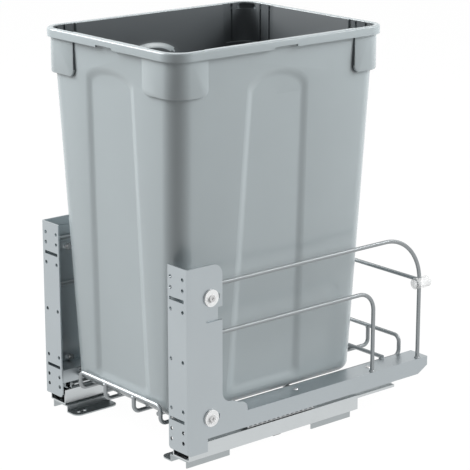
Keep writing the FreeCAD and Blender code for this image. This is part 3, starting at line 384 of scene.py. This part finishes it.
def add_taper_block(name, inset, low, high, corner, segments):
    """A tapered block with rounded upright corners, drawn in by inset all round."""
    piece = add_block(
        name,
        (BIN_CENTRE.x - half_width_at(high) + inset, BIN_CENTRE.y - half_length_at(high) + inset,
         low),
        (BIN_CENTRE.x + half_width_at(high) - inset, BIN_CENTRE.y + half_length_at(high) - inset,
         high))
    pick(piece, "FACE", lambda face: face.normal.z < -0.9)
    across = (half_width_at(low) - inset) / (half_width_at(high) - inset)
    along = (half_length_at(low) - inset) / (half_length_at(high) - inset)
    bpy.ops.transform.resize(value=(across, along, 1),
                             center_override=(BIN_CENTRE.x, BIN_CENTRE.y, low))
    leave_edit()
    round_edges(piece, corner, segments, is_upright)
    return piece


def add_arch(name, panel, reach):
    """A tapered upright plate with an arched top, facing -Y, measured from the bin's underside."""
    foot, top = PANEL_BOTTOM - BIN_BOTTOM, PANEL_TOP - BIN_BOTTOM
    spring = top - panel["arch"]
    plate = add_block(name, (-panel["top"], -reach, foot), (panel["top"], reach, spring))
    pick(plate, "FACE", lambda face: face.normal.z < -0.9)
    bpy.ops.transform.resize(value=(panel["foot"] / panel["top"], 1, 1),
                             center_override=(0, 0, foot))
    leave_edit()
    foot_round = 8 * MM
    round_edges(plate, foot_round, 6, lambda edge: at_height(foot)(edge)
                and abs(edge.verts[0].co.y - edge.verts[1].co.y) > reach)
    crown = add_tube(name + "_crown", 1.0, 2 * reach, (0, 0, spring), sides=64,
                     turn=(math.pi / 2, 0, 0))
    crown.scale = (panel["top"], 1, panel["arch"])
    crown.location = (0, 0, spring * (1 - panel["arch"]))
    set_place(crown)
    combine(plate, crown, "UNION")
    return plate


def cut_panel(body, turn, panel, half_at, inset=0):
    """Sinks one arched panel into a wall. The plate leans out with the wall's own slope."""
    reach = PANEL_PROFILE[0][1] / 2
    plate = add_arch("panel_cutter", panel, reach)
    pick(plate, "FACE", lambda face: face.normal.y < -0.9)
    half, high = panel["top"], PANEL_TOP - PANEL_BOTTOM
    for step, (out, up) in enumerate(PANEL_PROFILE):
        if step:
            bpy.ops.mesh.extrude_region_move(TRANSFORM_OT_translate={"value": (0, -up, 0)})
        bpy.ops.transform.resize(
            value=((half + out) / half, 1, (high + 2 * out) / high),
            center_override=(0, 0, (PANEL_BOTTOM + PANEL_TOP) / 2 - BIN_BOTTOM))
        half, high = half + out, high + 2 * out
    past_wall = 5 * MM
    bpy.ops.mesh.extrude_region_move(TRANSFORM_OT_translate={"value": (0, -past_wall, 0)})
    bpy.ops.mesh.select_all(action="SELECT")
    bpy.ops.transform.translate(value=(0, PANEL_DEPTH - reach, 0))
    leave_edit()
    way = math.copysign(1, math.cos(turn) + math.sin(turn))
    lean = math.atan((half_at(RIM_TOP) - half_at(BIN_BOTTOM)) / (RIM_TOP - BIN_BOTTOM))
    plate.rotation_euler = (lean, way * panel["tilt"], turn)
    out = half_at(BIN_BOTTOM) - inset
    aside = way * panel["shift"]
    plate.location = (BIN_CENTRE.x + math.cos(turn) * aside + math.sin(turn) * out,
                      BIN_CENTRE.y + math.sin(turn) * aside - math.cos(turn) * out, BIN_BOTTOM)
    set_place(plate)
    combine(body, plate, "DIFFERENCE")


def cut_panels(body, inset=0):
    """The four arched panels, sunk from outside and so standing proud inside."""
    for turn in (0, math.pi):
        cut_panel(body, turn, FRONT_PANEL, half_length_at, inset)
    for turn in (math.pi / 2, -math.pi / 2):
        cut_panel(body, turn, SIDE_PANEL, half_width_at, inset)


def add_corner_block(name, side_x, side_y, inset, low, high):
    """A block at one corner with a rounded outer corner and rounded lower ends."""
    half_x = RIM_WIDTH / 2 - PAD_INSET - inset
    half_y = RIM_LENGTH / 2 - PAD_INSET - inset
    corner_x = BIN_CENTRE.x + side_x * half_x
    corner_y = BIN_CENTRE.y + side_y * half_y
    far_x = BIN_CENTRE.x + side_x * (RIM_WIDTH / 2 - PAD_REACH["x"] + inset)
    far_y = BIN_CENTRE.y + side_y * (RIM_LENGTH / 2 - PAD_REACH["y"] + inset)
    block = add_block(name, (min(corner_x, far_x), min(corner_y, far_y), low),
                      (max(corner_x, far_x), max(corner_y, far_y), high))
    round_edges(block, RIM_ROUND - PAD_INSET - inset, 12,
                lambda edge: is_upright(edge) and abs(edge.verts[0].co.x - corner_x) < SAME
                and abs(edge.verts[0].co.y - corner_y) < SAME)
    round_edges(block, PAD_ROUND - inset, 8,
                lambda edge: at_height(low)(edge) and (abs(middle_of(edge).x - far_x) < SAME
                                                       or abs(middle_of(edge).y - far_y) < SAME))
    return block


def add_pads(body):
    """The four corner pads that stand proud under the rim, with sloping edges."""
    low, high = RIM_TOP - PAD_LOW, RIM_TOP - RIM_BAND + 1 * MM
    for side_x, side_y in CORNERS:
        pad = add_corner_block("corner_pad", side_x, side_y, 0, low, high)

        def faces_out(face):
            return (abs(face.normal.z) < 0.1 and face.normal.x * side_x > -0.01
                    and face.normal.y * side_y > -0.01)

        def is_outline(edge):
            outer = [faces_out(face) for face in edge.link_faces]
            top = any(face.normal.z > 0.9 for face in edge.link_faces)
            return sum(outer) == 1 and not top

        round_edges(pad, PAD_EDGE, 2, is_outline)
        combine(body, pad, "UNION")


def add_rim(body):
    """The turned-down rim: a rounded band with a hollow underside."""
    low = RIM_TOP - RIM_BAND
    rim = add_block("rim", (RIM_LOW.x, RIM_LOW.y, low), (RIM_HIGH.x, RIM_HIGH.y, RIM_TOP))
    round_edges(rim, RIM_ROUND, 16, is_upright)
    round_edges(rim, 2 * MM, 4, at_height(RIM_TOP))
    pick(rim, "FACE", lambda face: face.normal.z < -0.9)
    bpy.ops.mesh.inset(thickness=RIM_SHEET)
    bpy.ops.mesh.extrude_region_move(
        TRANSFORM_OT_translate={"value": (0, 0, RIM_BAND - RIM_SHEET)})
    leave_edit()
    combine(body, rim, "UNION")


def cut_grips(body):
    """Shallow cut-outs in the band's lower edge, one in each side."""
    low = RIM_TOP - RIM_BAND
    past = 1 * MM

    def cut(reach_x, reach_y):
        """Cuts between two places along X and two along Y, given in either order."""
        block = add_block("grip", (min(reach_x), min(reach_y), low - past),
                          (max(reach_x), max(reach_y), low + GRIP_HIGH))
        combine(body, block, "DIFFERENCE")

    for way in BOTH_SIDES:
        cut((-GRIP_HALF_FRONT, GRIP_HALF_FRONT),
            (BIN_CENTRE.y + way * RIM_LENGTH / 2 + way * past,
             BIN_CENTRE.y + way * (RIM_LENGTH / 2 - RIM_SHEET - GRIP_WEB)))
        cut((BIN_CENTRE.x + way * RIM_WIDTH / 2 + way * past,
             BIN_CENTRE.x + way * (RIM_WIDTH / 2 - RIM_SHEET - GRIP_WEB)),
            (BIN_CENTRE.y - GRIP_HALF_SIDE, BIN_CENTRE.y + GRIP_HALF_SIDE))


def add_grooves():
    """Narrow upright grooves in the wall inside the corners, as one cutter."""
    low, high = RIM_TOP - PAD_LOW + WALL, RIM_TOP - 2 * MM
    face_x = RIM_WIDTH / 2 - PAD_INSET - WALL
    face_y = RIM_LENGTH / 2 - PAD_INSET - WALL
    past = 1 * MM
    reach = GROOVE_DEPTH / 2 + past
    blocks = []
    for side_x, side_y in CORNERS:
        x = BIN_CENTRE.x + side_x * (face_x + GROOVE_DEPTH / 2 - past)
        for back in SIDE_GROOVES:
            y = BIN_CENTRE.y + side_y * (RIM_LENGTH / 2 - back)
            blocks.append(add_block("groove", (x - reach, y - GROOVE_HALF, low),
                                    (x + reach, y + GROOVE_HALF, high)))
        y = BIN_CENTRE.y + side_y * (face_y + GROOVE_DEPTH / 2 - past)
        for back in END_GROOVES:
            x = BIN_CENTRE.x + side_x * (RIM_WIDTH / 2 - back)
            blocks.append(add_block("groove", (x - GROOVE_HALF, y - reach, low),
                                    (x + GROOVE_HALF, y + reach, high)))
    return join_all(blocks)


def hollow_out(body):
    """Cuts the inside, which follows the outside: pockets behind the pads, panels standing in."""
    past, floor_round, lip_round = 0.5 * MM, 8 * MM, 0.9 * MM
    inside = add_taper_block("inside", WALL, BIN_BOTTOM + WALL, RIM_TOP + past,
                             WALL_ROUND - WALL, 10)
    cut_panels(inside, WALL)
    round_edges(inside, floor_round, 5, at_height(BIN_BOTTOM + WALL))
    for side_x, side_y in CORNERS:
        pocket = add_corner_block("pocket", side_x, side_y, WALL, RIM_TOP - PAD_LOW + WALL,
                                  RIM_TOP + past)
        combine(inside, pocket, "UNION")
    combine(body, inside, "DIFFERENCE")
    combine(body, add_grooves(), "DIFFERENCE")
    sharp = math.radians(70)
    round_edges(body, lip_round, 3, lambda edge: at_height(RIM_TOP)(edge)
                and len(edge.link_faces) == 2 and edge.calc_face_angle(0) > sharp)


def paint_inside_shade(body):
    """Gives the faces inside the bin, but for the ledges high up, the second material: a far
    darker grey that paints the shade inside.
    """
    def is_inside(face):
        spot = face.calc_center_median()
        return (spot.z < RIM_TOP - 1 * MM and spot.z > BIN_BOTTOM + WALL - 0.01 * MM
                and (face.normal.z < 0.25 or spot.z < LEDGE_LEVEL)
                and face.normal.dot(Vector((BIN_CENTRE.x, BIN_CENTRE.y, spot.z)) - spot) > 0
                and abs(spot.x) < half_width_at(spot.z) + 2 * MM
                and abs(spot.y - BIN_CENTRE.y) < half_length_at(spot.z) + 2 * MM)

    pick(body, "FACE", is_inside)
    body.active_material_index = 1
    bpy.ops.object.material_slot_assign()
    leave_edit()


def make_bin(materials):
    body = add_taper_block("bin_shell", 0, BIN_BOTTOM, RIM_TOP - 1 * MM, WALL_ROUND, 12)
    cut_panels(body)
    round_edges(body, BASE_ROUND, 6, at_height(BIN_BOTTOM))
    add_pads(body)
    add_rim(body)
    cut_grips(body)
    hollow_out(body)
    tidy_mesh(body)
    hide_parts("waste_bin")
    finish_piece(body, materials["bin_grey"], "bin", angle=35)
    # second material: a far darker grey that paints the shade inside the bin
    body.data.materials.append(materials["bin_inside"])
    paint_inside_shade(body)


# ---------------------------------------------------------------- welds
def centre_of(node):
    low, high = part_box(node)
    return (low + high) / 2


def add_bead(place, size):
    """A flattened drop of weld metal."""
    deselect_all()
    bpy.ops.mesh.primitive_uv_sphere_add(segments=20, ring_count=10, radius=1, location=place)
    bead = bpy.context.object
    bead.scale = size
    set_place(bead)
    return bead


def add_foot_bead(place):
    """The sloping collar of weld metal round a wire that stands on the rail."""
    deselect_all()
    foot_radius, top_radius, high, lift = 4.3 * MM, 2.7 * MM, 2 * MM, 0.9 * MM
    bpy.ops.mesh.primitive_cone_add(vertices=32, radius1=foot_radius, radius2=top_radius,
                                    depth=high, location=place + Vector((0, 0, lift)))
    bead = bpy.context.object
    set_place(bead)
    sharp = math.radians(25)
    round_edges(bead, 0.5 * MM, 3, lambda edge: edge.calc_face_angle(0) > sharp)
    return bead


def add_welds(materials):
    """The beads that join the wires to each other and to the rails."""
    wire = 5 * MM
    rail_face = 109.6 * MM
    drop = (3.1 * MM, 3.1 * MM, 2.0 * MM)
    side_drop = (2.0 * MM, 3.1 * MM, 3.1 * MM)
    beads = []
    front, middle = centre_of("cross_wire_front"), centre_of("cross_wire_middle")
    behind, high_cross = centre_of("cross_wire_rear"), centre_of("rear_cross_wire")
    bar_low, bar_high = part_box("cradle_front_bar")
    _, guard_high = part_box("cradle_rear_guard")
    for name, side in (("left", -1), ("right", 1)):
        for level in ("upper", "lower"):
            low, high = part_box("%s_side_wire_%s" % (level, name))
            beads.append(add_foot_bead(Vector(((low.x + high.x) / 2, high.y - wire / 2, low.z))))
        leg = centre_of("cradle_front_leg_" + name).x
        run = centre_of("cradle_floor_wire_" + name).x
        bar_end = side * (bar_high.x - wire / 2)
        for x in (leg, run, bar_end):
            beads.append(add_bead((x, front.y, front.z - wire / 2), drop))
        beads.append(add_bead((run, middle.y, middle.z - wire / 2), drop))
        beads.append(add_bead((run, behind.y, behind.z - wire / 2), drop))
        beads.append(add_bead((leg, bar_low.y + wire / 2, bar_high.z - wire), drop))
        beads.append(add_bead((run, guard_high.y - wire / 2, guard_high.z - wire), drop))
        beads.append(add_bead((side * (guard_high.x - wire / 2), behind.y, behind.z - wire / 2),
                              drop))
        for y in (front.y, middle.y):
            beads.append(add_bead((side * rail_face, y, front.z), side_drop))
        upper_low, upper_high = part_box("upper_side_wire_" + name)
        inner = upper_low.x if side > 0 else upper_high.x
        beads.append(add_bead((inner, high_cross.y, high_cross.z), side_drop))
    welds = join_all(beads)
    welds.name = "weld_beads"
    finish_piece(welds, materials["wire_silver"], "carriage", angle=40)


def add_slide_stops(materials):
    """A small black stop under each slide, halfway along its cabinet member."""
    inset, back, half = 2.5 * MM, 135 * MM, 6 * MM
    wide, drop, bite = 7 * MM, 1.6 * MM, 0.2 * MM
    for name, side in (("left", -1), ("right", 1)):
        low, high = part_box("slide_cabinet_member_" + name)
        outer = max(abs(low.x), abs(high.x)) - inset
        middle = low.y + back
        ends = sorted((side * outer, side * (outer - wide)))
        stop = add_block("slide_stop_" + name, (ends[0], middle - half, low.z - drop),
                         (ends[1], middle + half, low.z + bite))
        round_edges(stop, 0.7 * MM, 3, lambda edge: not is_upright(edge)
                    and middle_of(edge).z < low.z - 1 * MM)
        round_edges(stop, 0.5 * MM, 2, is_upright)
        finish_piece(stop, materials["stop_black"], "cabinet_base")


# ---------------------------------------------------------------- floor, light and camera
def seen_rays(nodes, links):
    """1 for rays from the camera, from a mirror or through clear plastic, else 0."""
    path = nodes.new("ShaderNodeLightPath")
    first = nodes.new("ShaderNodeMath")
    first.operation = "MAXIMUM"
    links.new(path.outputs["Is Camera Ray"], first.inputs[0])
    links.new(path.outputs["Is Glossy Ray"], first.inputs[1])
    every = nodes.new("ShaderNodeMath")
    every.operation = "MAXIMUM"
    links.new(first.outputs[0], every.inputs[0])
    links.new(path.outputs["Is Transmission Ray"], every.inputs[1])
    return every.outputs[0]


def make_floor():
    deselect_all()
    bpy.ops.mesh.primitive_plane_add(size=FLOOR_SIZE, location=(0, 0, 0))
    floor = bpy.context.object
    floor.name = "floor"
    material = bpy.data.materials.new("pale floor")
    material.use_nodes = True
    nodes, links = material.node_tree.nodes, material.node_tree.links
    shader = nodes["Principled BSDF"]
    shader.inputs["Base Color"].default_value = (FLOOR_TONE, FLOOR_TONE, FLOOR_TONE, 1)
    shader.inputs["Roughness"].default_value = 0.9
    shader.inputs["Specular IOR Level"].default_value = 0.0
    glow = nodes.new("ShaderNodeEmission")
    share = nodes.new("ShaderNodeMath")
    share.operation = "MULTIPLY"
    share.inputs[1].default_value = FLOOR_GLOW_SHARE
    links.new(seen_rays(nodes, links), share.inputs[0])
    mix = nodes.new("ShaderNodeMixShader")
    links.new(share.outputs[0], mix.inputs["Fac"])
    links.new(shader.outputs[0], mix.inputs[1])
    links.new(glow.outputs[0], mix.inputs[2])
    glow.inputs["Strength"].default_value = FLOOR_GLOW
    links.new(mix.outputs[0], nodes["Material Output"].inputs["Surface"])
    floor.data.materials.append(material)


def make_world():
    world = bpy.data.worlds.new("studio")
    bpy.context.scene.world = world
    world.use_nodes = True
    nodes, links = world.node_tree.nodes, world.node_tree.links
    fill = nodes["Background"]
    fill.inputs["Color"].default_value = (1, 1, 1, 1)
    fill.inputs["Strength"].default_value = FILL_STRENGTH
    white = nodes.new("ShaderNodeBackground")
    white.inputs["Color"].default_value = (1, 1, 1, 1)
    white.inputs["Strength"].default_value = WHITE_STRENGTH
    mix = nodes.new("ShaderNodeMixShader")
    links.new(seen_rays(nodes, links), mix.inputs["Fac"])
    links.new(fill.outputs[0], mix.inputs[1])
    links.new(white.outputs[0], mix.inputs[2])
    links.new(mix.outputs[0], nodes["World Output"].inputs["Surface"])


def aim(item, place, target):
    """Puts a lamp or the camera at its place and turns it to its target."""
    item.location = place
    item.rotation_euler = (Vector(target) - Vector(place)).to_track_quat("-Z", "Y").to_euler()
    bpy.context.scene.collection.objects.link(item)


def add_softbox(name, place, target, width, height, power, in_gloss):
    light = bpy.data.lights.new(name, "AREA")
    light.shape = "RECTANGLE"
    light.size = width
    light.size_y = height
    light.energy = power
    lamp = bpy.data.objects.new(name, light)
    lamp.visible_camera = False
    lamp.visible_glossy = in_gloss
    aim(lamp, place, target)


def make_lights():
    for lamp in LAMPS:
        add_softbox(*lamp)


def make_camera():
    view = bpy.data.cameras.new("camera")
    view.lens = CAMERA_LENS
    view.sensor_width = CAMERA_SENSOR
    view.clip_start, view.clip_end = 0.05, 50
    camera = bpy.data.objects.new("camera", view)
    aim(camera, CAMERA_PLACE, CAMERA_TARGET)
    bpy.context.scene.camera = camera


# ---------------------------------------------------------------- the whole scene
def main():
    bpy.context.scene.view_settings.view_transform = "Standard"
    materials = make_materials()
    dress_frame(materials)
    make_bin(materials)
    add_welds(materials)
    add_slide_stops(materials)
    make_floor()
    make_world()
    make_lights()
    make_camera()


main()
